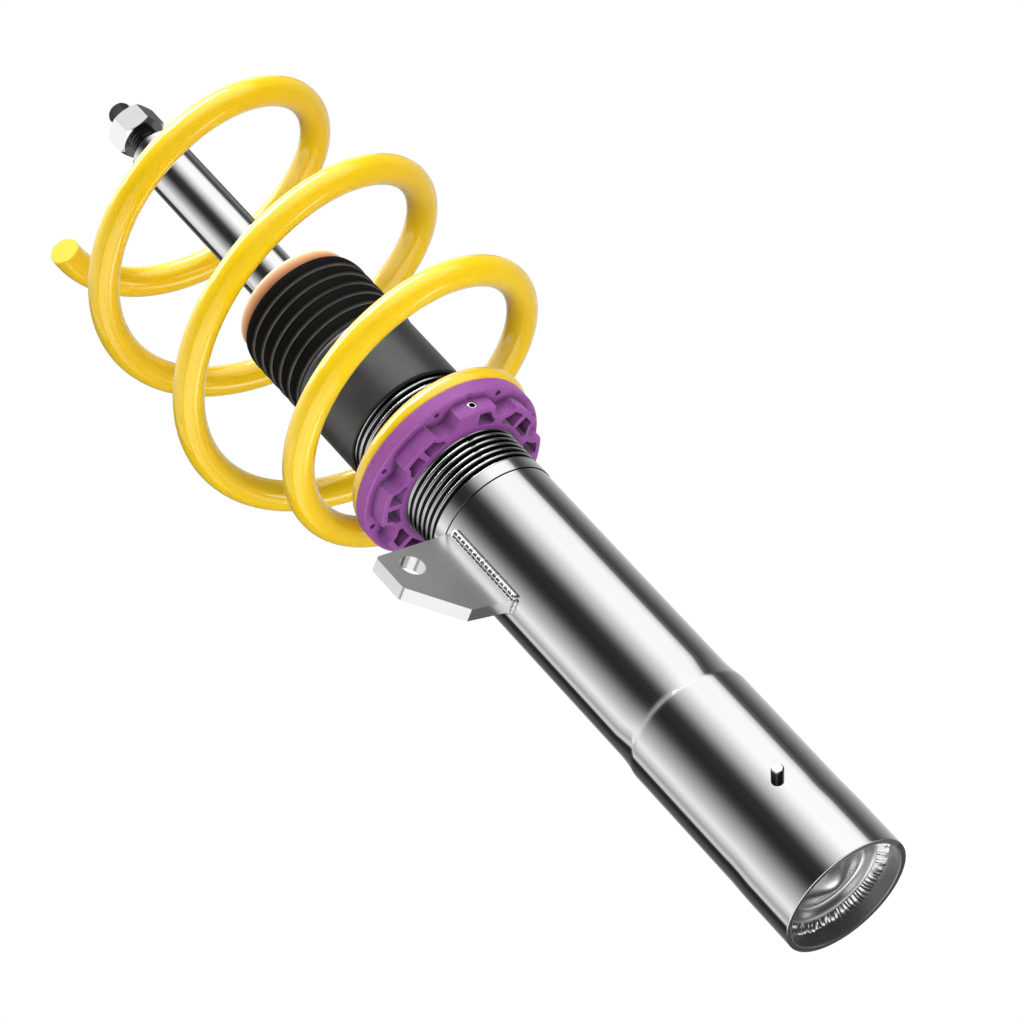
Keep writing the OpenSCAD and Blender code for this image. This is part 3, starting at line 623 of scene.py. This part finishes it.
# Shares of the pitch at which a rib has its points
RIB_AT = [0.0, 0.004, 0.012, 0.025, 0.045, 0.07, 0.10, 0.14, 0.18, 0.22, 0.3, 0.4, 0.5, 0.6, 0.7, 0.8,
          0.88, 0.94, 0.98]


def rib_r(u):
    """A rounded lower edge, then a full shape that falls back to the next groove."""
    if u < RIB_EDGE:
        return RIB_DEPTH * (sqrt(1 - (1 - u / RIB_EDGE) ** 2) - 0.6)
    return RIB_DEPTH * (0.4 - ((u - RIB_EDGE) / (1 - RIB_EDGE)) ** 2)


def boot_profile():
    """Lower lip, smooth sleeve, ribs and rounded top, then down the inside."""
    inner = BOOT_R - BOOT_WALL
    sink, run, steps = 0.54, 2.2, 6  # how the sleeve draws in below the first rib
    roof = BOOT_TOP - 1.4
    lip = [(inner + 0.15, BOOT_Z), (BOOT_R - 0.3, BOOT_Z), (BOOT_R - 0.08, BOOT_Z + 0.1),
           (BOOT_R, BOOT_Z + 0.4)]
    sleeve = [(BOOT_R - sink * smooth(0, 1, i / steps), RIB_Z - run + run * i / steps)
              for i in range(steps)]
    ribs = [(BOOT_R + rib_r(u), RIB_Z + RIB_PITCH * (i + u)) for i in range(RIBS) for u in RIB_AT]
    ribs.append((BOOT_R + rib_r(0.0), RIB_Z + RIB_PITCH * RIBS))
    top = [(27.3, BOOT_TOP - 0.15), (27.0, BOOT_TOP), (NECK_R, BOOT_TOP), (NECK_R, roof)]
    inside = [(inner - 1.6, roof), (inner - 0.6, BOOT_TOP - 2.4), (inner - 0.6, RIB_Z),
              (inner, RIB_Z - 2), (inner, BOOT_Z + 0.15)]
    return lip + sleeve + ribs + top + inside


new_piece("boot_sleeve", *revolve(supported(boot_profile()), 192), "boot", ["dust_boot"], "boot_rubber",
          boot_mat, 40)

# ---------------------------------------------------------------- weld beads
PLATE_T, PLATE_LOW, PLATE_TOP, BEAD = 6.0, 172.4, 213.3, 1.5


def ripple_radii(points, radius, pitch, depth, taper=1.2):
    """Radii of a weld bead of overlapping ripples along the points, with tapered ends."""
    crest, least = 0.8, 0.02  # where in a ripple it breaks off, and what the taper leaves
    radii, run = [], 0.0
    total = sum((b - a).length for a, b in zip(points, points[1:]))
    for i, p in enumerate(points):
        if i:
            run += (p - points[i - 1]).length
        saw = (run / pitch) % 1.0
        bump = 1.0 - (1.0 - saw) ** 2 if saw < crest else 0.96 * (1.0 - saw) / (1.0 - crest)
        end = min(run, total - run)
        r = radius - depth + depth * bump
        if end < taper:
            r *= sqrt(max(least, 1 - (1 - end / taper) ** 2))
        radii.append(r)
    return radii


def bracket_beads():
    """A bead up each side of the plate's foot, and a thinner one under its lower edge."""
    x = -(sqrt(TUBE_R ** 2 - (PLATE_T / 2) ** 2) + BEAD * 0.3)
    y = PLATE_T / 2 + BEAD * 0.3
    length = PLATE_TOP - PLATE_LOW - BEAD * 0.05
    out = Vector((-1, 0, 0))
    beads = []
    n = 260
    for side in (-1, 1):
        pts = [Vector((x, side * y, PLATE_LOW + length * i / n)) for i in range(n + 1)]
        beads.append(sweep(pts, ripple_radii(pts, BEAD, 2.5, 0.14), 24, out))
    n = 60
    pts = [Vector((x, -PLATE_T / 2 + PLATE_T * i / n, PLATE_LOW)) for i in range(n + 1)]
    beads.append(sweep(pts, ripple_radii(pts, BEAD * 0.78, 2.4, 0.4, taper=0.4), 20, out))
    return join(*beads)


new_piece("plate_beads", *bracket_beads(), "strut", ["bracket_weld"], "weld", weld_mat, 60)

# ---------------------------------------------------------------- end cap and its weld
CAP_R, CAP_OUT_R, MOAT_R = 21.0, 25.0, 15.5
DOME_Z, MOAT_Z, CAP_RIM_Z, CAP_TOP_Z = 5.6, 11.0, 8.5, 14.0
CAP_STEPS = 60


def cap_under(r):
    """Height of the cap's underside: a dome, its moat and the rise back to the rim."""
    if r < MOAT_R:
        return DOME_Z + (MOAT_Z - DOME_Z) * (1 - cos(pi * r / MOAT_R)) / 2
    return CAP_RIM_Z + (MOAT_Z - CAP_RIM_Z) * (1 + cos(pi * (r - MOAT_R) / (CAP_R - MOAT_R))) / 2


cap_profile = [(CAP_R * i / CAP_STEPS, cap_under(CAP_R * i / CAP_STEPS)) for i in range(CAP_STEPS + 1)]
cap_profile += [(CAP_OUT_R, CAP_RIM_Z), (CAP_OUT_R, CAP_TOP_Z), (0.0, CAP_TOP_Z)]
new_piece("domed_cap", *revolve(cap_profile, 192), "strut", ["base_cap"], "tube_steel", cap_mat, 30)


def end_weld():
    """A ring of radial ripples between the tube's bore and the end cap, and over the cap's edge."""
    ripples, depth, sag, steps = 92, 0.55, 0.5, 6
    bore, inner, low, rim = 25.0, 20.9, 6.0, 8.6
    n = 2 * ripples
    rows = []
    for k in range(steps + 1):
        f = k / steps
        fade = sin(pi * min(0.5, 0.12 + 2 * f, 0.12 + 2 * (1 - f)))  # flatter at both edges
        r = bore + (inner - bore) * f
        row = []
        for m in range(n):
            i = m // 2  # the ripple's number, which varies its height, place and lean
            lift = depth * (0.8 + 0.2 * sin(2.4 * i)) * (m % 2) * fade
            place = m + 0.25 * sin(1.9 * i) + 0.5 * sin(2.6 * f + 0.7 * sin(0.9 * i))
            t = 2 * pi * place / n
            row.append((r * cos(t), r * sin(t), low + (rim - low) * f - sag * sin(pi * f) - lift))
        rows.append(row)
    rows += [ring(r, rim + 1.2, n) for r in (inner, bore)]
    faces = []
    for j in range(len(rows)):
        i = (j + 1) % len(rows)
        for m in range(n):
            k = (m + 1) % n
            faces.append((j * n + m, j * n + k, i * n + k, i * n + m))
    return [v for row in rows for v in row], faces


ripple = new_piece("cap_weld", *end_weld(), "strut", ["base_weld"], "weld", ripple_mat, 25)
weld_close(ripple)
shade(ripple, 12)

# ---------------------------------------------------------------- studio
PLAIN, SOFT = 1.0, 0.5  # strengths of the world as it is seen, and as it lights
DISC_Z, SPOT_Z = -0.3, -0.29
STRUT_MIDDLE = Vector((0, 0, 0.24))


def maximum(tree, a, b):
    """The larger of two outputs."""
    node = tree.nodes.new("ShaderNodeMath")
    node.operation = "MAXIMUM"
    tree.links.new(a, node.inputs[0])
    tree.links.new(b, node.inputs[1])
    return node.outputs[0]


def world():
    """White where the camera, gloss or glass looks, and a softer white that lights the object."""
    w = bpy.data.worlds.new("studio")
    bpy.context.scene.world = w
    w.use_nodes = True
    t = w.node_tree
    back = t.nodes["Background"]
    back.inputs["Color"].default_value = (1, 1, 1, 1)
    path = t.nodes.new("ShaderNodeLightPath")
    seen = maximum(t, path.outputs["Is Camera Ray"], path.outputs["Is Glossy Ray"])
    seen = maximum(t, seen, path.outputs["Is Transmission Ray"])
    t.links.new(remap(t, seen, (0.0, 1.0), (SOFT, PLAIN)).outputs["Result"], back.inputs["Strength"])


def stage_object(name, verts, faces):
    """A studio object from points in metres."""
    mesh = bpy.data.meshes.new(name)
    mesh.from_pydata(verts, [], faces)
    obj = bpy.data.objects.new(name, mesh)
    bpy.context.scene.collection.objects.link(obj)
    return obj


def floor_plane():
    """Pale floor under the strut, seen from above only."""
    size, glow_share = 30.0, 0.45
    obj = stage_object("floor", [(-size, -size, 0), (size, -size, 0), (size, size, 0), (-size, size, 0)],
                       [(0, 1, 2, 3)])
    m = bpy.data.materials.new("floor_paper")
    m.use_nodes = True
    t = m.node_tree
    t.nodes.clear()
    out = t.nodes.new("ShaderNodeOutputMaterial")
    paper = t.nodes.new("ShaderNodeBsdfDiffuse")
    glow = t.nodes.new("ShaderNodeEmission")
    path = t.nodes.new("ShaderNodeLightPath")
    geo = t.nodes.new("ShaderNodeNewGeometry")
    clear = t.nodes.new("ShaderNodeBsdfTransparent")
    noise = t.nodes.new("ShaderNodeTexNoise")
    noise.inputs["Scale"].default_value = 40.0
    ramp = t.nodes.new("ShaderNodeValToRGB")
    set_stops(ramp.color_ramp.elements, [(0.0, grey(0.88)), (1.0, grey(0.92))])
    t.links.new(noise.outputs["Fac"], ramp.inputs["Fac"])
    t.links.new(ramp.outputs["Color"], paper.inputs["Color"])
    # A glow of its own keeps the paper pale for the camera
    seen = maximum(t, path.outputs["Is Camera Ray"], path.outputs["Is Glossy Ray"])
    t.links.new(remap(t, seen, (0.0, 1.0), (0.0, glow_share)).outputs["Result"], glow.inputs["Strength"])
    both = t.nodes.new("ShaderNodeAddShader")
    t.links.new(paper.outputs[0], both.inputs[0])
    t.links.new(glow.outputs[0], both.inputs[1])
    # The paper fades out away from the strut, so no horizon shows
    place = t.nodes.new("ShaderNodeTexCoord")
    length = t.nodes.new("ShaderNodeVectorMath")
    length.operation = "LENGTH"
    t.links.new(place.outputs["Object"], length.inputs[0])
    far = remap(t, length.outputs["Value"], (0.2, 0.8), (0.0, 1.0))
    far.interpolation_type = "SMOOTHSTEP"
    hide = maximum(t, geo.outputs["Backfacing"], path.outputs["Is Shadow Ray"])
    gone = maximum(t, hide, far.outputs["Result"])
    mix = t.nodes.new("ShaderNodeMixShader")
    t.links.new(gone, mix.inputs["Fac"])
    t.links.new(both.outputs[0], mix.inputs[1])
    t.links.new(clear.outputs[0], mix.inputs[2])
    t.links.new(mix.outputs[0], out.inputs["Surface"])
    obj.data.materials.append(m)
    obj.visible_glossy = False


def gloss_only(name, verts, faces, material):
    """A glowing studio object that only gloss sees, with its material's tree and glow."""
    obj = stage_object(name, verts, faces)
    for ray in ("camera", "diffuse", "shadow", "transmission", "volume_scatter"):
        setattr(obj, "visible_" + ray, False)
    m = bpy.data.materials.new(material)
    m.use_nodes = True
    t = m.node_tree
    t.nodes.clear()
    out = t.nodes.new("ShaderNodeOutputMaterial")
    glow = t.nodes.new("ShaderNodeEmission")
    t.links.new(glow.outputs[0], out.inputs["Surface"])
    obj.data.materials.append(m)
    return obj, t, glow


def round_ramp(t, stops):
    """Brightness by the direction round Z: 0 degrees is the camera's side, and less is to its left."""
    coord = t.nodes.new("ShaderNodeTexCoord")
    grad = t.nodes.new("ShaderNodeTexGradient")
    grad.gradient_type = "RADIAL"
    ramp = t.nodes.new("ShaderNodeValToRGB")
    t.links.new(coord.outputs["Object"], grad.inputs["Vector"])
    t.links.new(grad.outputs["Fac"], ramp.inputs["Fac"])
    set_stops(ramp.color_ramp.elements, [(0.5 + deg / 360.0, grey(v)) for deg, v in stops])
    return ramp.outputs["Color"]


def ground_disc():
    """A disc under the strut that only gloss sees: dark behind the strut, bright to its sides."""
    radius, n = 1.6, 96
    obj, t, glow = gloss_only("ground_disc", ring(radius, DISC_Z, n), [tuple(range(n))], "ground_glow")
    obj.rotation_euler = (0, 0, radians(CAMERA_SIDE))
    stops = [(-180, 0.11), (-150, 0.08), (-120, 0.8), (-95, 1.0), (-45, 0.9), (-20, 0.3), (0, 0.06),
             (60, 0.05), (120, 0.05), (150, 0.13), (180, 0.11)]
    t.links.new(round_ramp(t, stops), glow.inputs["Color"])
    glow.inputs["Strength"].default_value = 1.13


def ground_spot(azimuth, distance, radius, strength):
    """A small bright disc just over the ground disc, for the highlight in the end cap's dome."""
    x, y, n = distance * cos(radians(azimuth)), distance * sin(radians(azimuth)), 48
    obj, t, glow = gloss_only("ground_spot", ring(radius, SPOT_Z, n, centre=(x, y)), [tuple(range(n))],
                              "spot_glow")
    coord = t.nodes.new("ShaderNodeTexCoord")
    grad = t.nodes.new("ShaderNodeTexGradient")
    grad.gradient_type = "SPHERICAL"
    shift = t.nodes.new("ShaderNodeMapping")
    shift.inputs["Location"].default_value = (-x / radius, -y / radius, -SPOT_Z / radius)
    shift.inputs["Scale"].default_value = (1 / radius, 1 / radius, 1 / radius)
    t.links.new(coord.outputs["Object"], shift.inputs["Vector"])
    t.links.new(shift.outputs["Vector"], grad.inputs["Vector"])
    ramp = t.nodes.new("ShaderNodeValToRGB")
    set_stops(ramp.color_ramp.elements, [(0.0, grey(0.06)), (0.35, grey(0.3)), (0.7, grey(1.0))])
    t.links.new(grad.outputs["Fac"], ramp.inputs["Fac"])
    t.links.new(ramp.outputs["Color"], glow.inputs["Color"])
    glow.inputs["Strength"].default_value = strength


def reflecting_wall():
    """A ring of studio wall that only gloss sees: dark flags and white screens around the strut."""
    radius, low, high, n = 2.4, -2.5, 4.5, 180
    faces = [(k, n + k, n + (k + 1) % n, (k + 1) % n) for k in range(n)]
    obj, t, glow = gloss_only("studio_wall", ring(radius, low, n) + ring(radius, high, n), faces,
                              "wall_screens")
    obj.rotation_euler = (0, 0, radians(CAMERA_SIDE))
    stops = [(-180, 0.5), (-166, 0.3), (-152, 0.1), (-138, 0.07), (-126, 0.02), (-117, 0.02),
             (-112, 0.66), (-101, 0.36), (-91, 0.64), (-82, 0.84), (-73, 0.69), (-65, 0.53),
             (-57, 0.40), (-43, 0.19), (-36, 0.095), (-29, 0.04), (-20, 0.02), (-3, 0.03), (4, 0.08),
             (11, 0.21), (17, 0.38), (24, 0.54), (38, 0.86), (47, 0.99), (78, 0.97), (87, 0.72),
             (93, 0.12), (103, 0.05), (115, 0.1), (146, 0.36), (160, 0.5), (180, 0.5)]
    coord = t.nodes.new("ShaderNodeTexCoord")
    part = t.nodes.new("ShaderNodeSeparateXYZ")
    t.links.new(coord.outputs["Object"], part.inputs[0])
    # Over the screens and flags the wall is pale all round
    pale = remap(t, part.outputs["Z"], (2.45, 3.2), (0.0, 0.75))
    mix = t.nodes.new("ShaderNodeMix")
    mix.data_type = "RGBA"
    mix.inputs["B"].default_value = (0.8, 0.8, 0.8, 1)
    t.links.new(pale.outputs["Result"], mix.inputs["Factor"])
    t.links.new(round_ramp(t, stops), mix.inputs["A"])
    t.links.new(mix.outputs["Result"], glow.inputs["Color"])
    # The screens stand on the floor, and what lies below its level is duller
    level = remap(t, part.outputs["Z"], (-0.2, 0.5), (0.4, 1.2))
    t.links.new(level.outputs["Result"], glow.inputs["Strength"])


def wall_card(name, side, level):
    """A card in front of the wall that only gloss sees, for the flats of the top nut."""
    radius, half, low, high, n = 2.35, 13.0, 2.05, 2.7, 8
    angles = [radians(CAMERA_SIDE + side - half + 2 * half * k / n) for k in range(n + 1)]
    verts = [(radius * cos(a), radius * sin(a), z) for z in (low, high) for a in angles]
    faces = [(k, n + 1 + k, n + 2 + k, k + 1) for k in range(n)]
    obj, _, glow = gloss_only(name, verts, faces, name)
    glow.inputs["Color"].default_value = (level, level, level, 1)


def softbox(name, azimuth, elevation, distance, size, power, gloss):
    """An area lamp that looks at the strut from an azimuth and an elevation."""
    lamp = bpy.data.lights.new(name, "AREA")
    lamp.shape = "RECTANGLE"
    lamp.size, lamp.size_y = size
    lamp.energy = power
    obj = bpy.data.objects.new(name, lamp)
    a, e = radians(azimuth), radians(elevation)
    way = Vector((cos(a) * cos(e), sin(a) * cos(e), sin(e)))
    obj.location = STRUT_MIDDLE + way * distance
    obj.rotation_euler = way.to_track_quat("Z", "Y").to_euler()
    bpy.context.scene.collection.objects.link(obj)
    obj.visible_glossy = gloss
    if obj.location.z < 0:
        lamp.cycles.use_multiple_importance_sampling = False


# Name, azimuth, elevation, distance, size, power, and whether gloss sees it
LAMPS = [
    ("key", CAMERA_SIDE + 62, 34, 2.2, (0.7, 1.5), 26, False),
    ("glint", CAMERA_SIDE + 50, 56, 2.2, (1.5, 0.5), 20, True),
    ("fill", CAMERA_SIDE - 75, 20, 2.2, (0.5, 1.6), 3, False),
    ("under", CAMERA_SIDE + 8, -42, 2.0, (1.2, 1.2), 3.3, False),
    ("edge", 130, -36, 1.8, (0.6, 0.6), 4.5, False),
    ("top", CAMERA_SIDE - 20, 84, 2.2, (1.6, 1.6), 14, True),
    ("sheen", CAMERA_SIDE + 8, 66, 2.2, (1.9, 0.4), 20, True),
]

world()
floor_plane()
ground_disc()
ground_spot(52, 0.27, 0.24, 2.3)
ground_spot(CAMERA_SIDE + 122, 0.45, 0.17, 2.2)
reflecting_wall()
wall_card("white_card", -92, 0.95)
wall_card("black_card", 148, 0.12)
for lamp in LAMPS:
    softbox(*lamp)

# ---------------------------------------------------------------- camera
FOCAL_PX, DISTANCE, HEADING, DIP, ROLL = 4675.45, 1803.4, -48.0, 30.909, -43.0035
AIM_X, AIM_Z = 6.213, 214.85
PHOTO_PX, SENSOR = 1024, 36.0


def camera():
    """The photograph's viewpoint: below the strut's horizon, rolled, at its fitted distance."""
    turn = Matrix.Rotation(radians(HEADING), 3, "Z")
    e, r = radians(DIP), radians(ROLL)
    right = turn @ Vector((1, 0, 0))
    forward = turn @ Vector((0, cos(e), sin(e)))
    up = turn @ Vector((0, -sin(e), cos(e)))
    aim = turn @ Vector((AIM_X, 0, AIM_Z))
    x = cos(r) * right + sin(r) * up
    y = -sin(r) * right + cos(r) * up
    m = Matrix((x, y, -forward)).transposed().to_4x4()
    m.translation = (aim - forward * DISTANCE) * MM
    data = bpy.data.cameras.new("camera")
    data.sensor_width = SENSOR
    data.sensor_fit = "HORIZONTAL"
    data.lens = FOCAL_PX / PHOTO_PX * SENSOR
    data.clip_start, data.clip_end = 0.01, 100.0
    obj = bpy.data.objects.new("camera", data)
    obj.matrix_world = m
    bpy.context.scene.collection.objects.link(obj)
    bpy.context.scene.camera = obj


camera()
bpy.context.scene.view_settings.view_transform = "Standard"
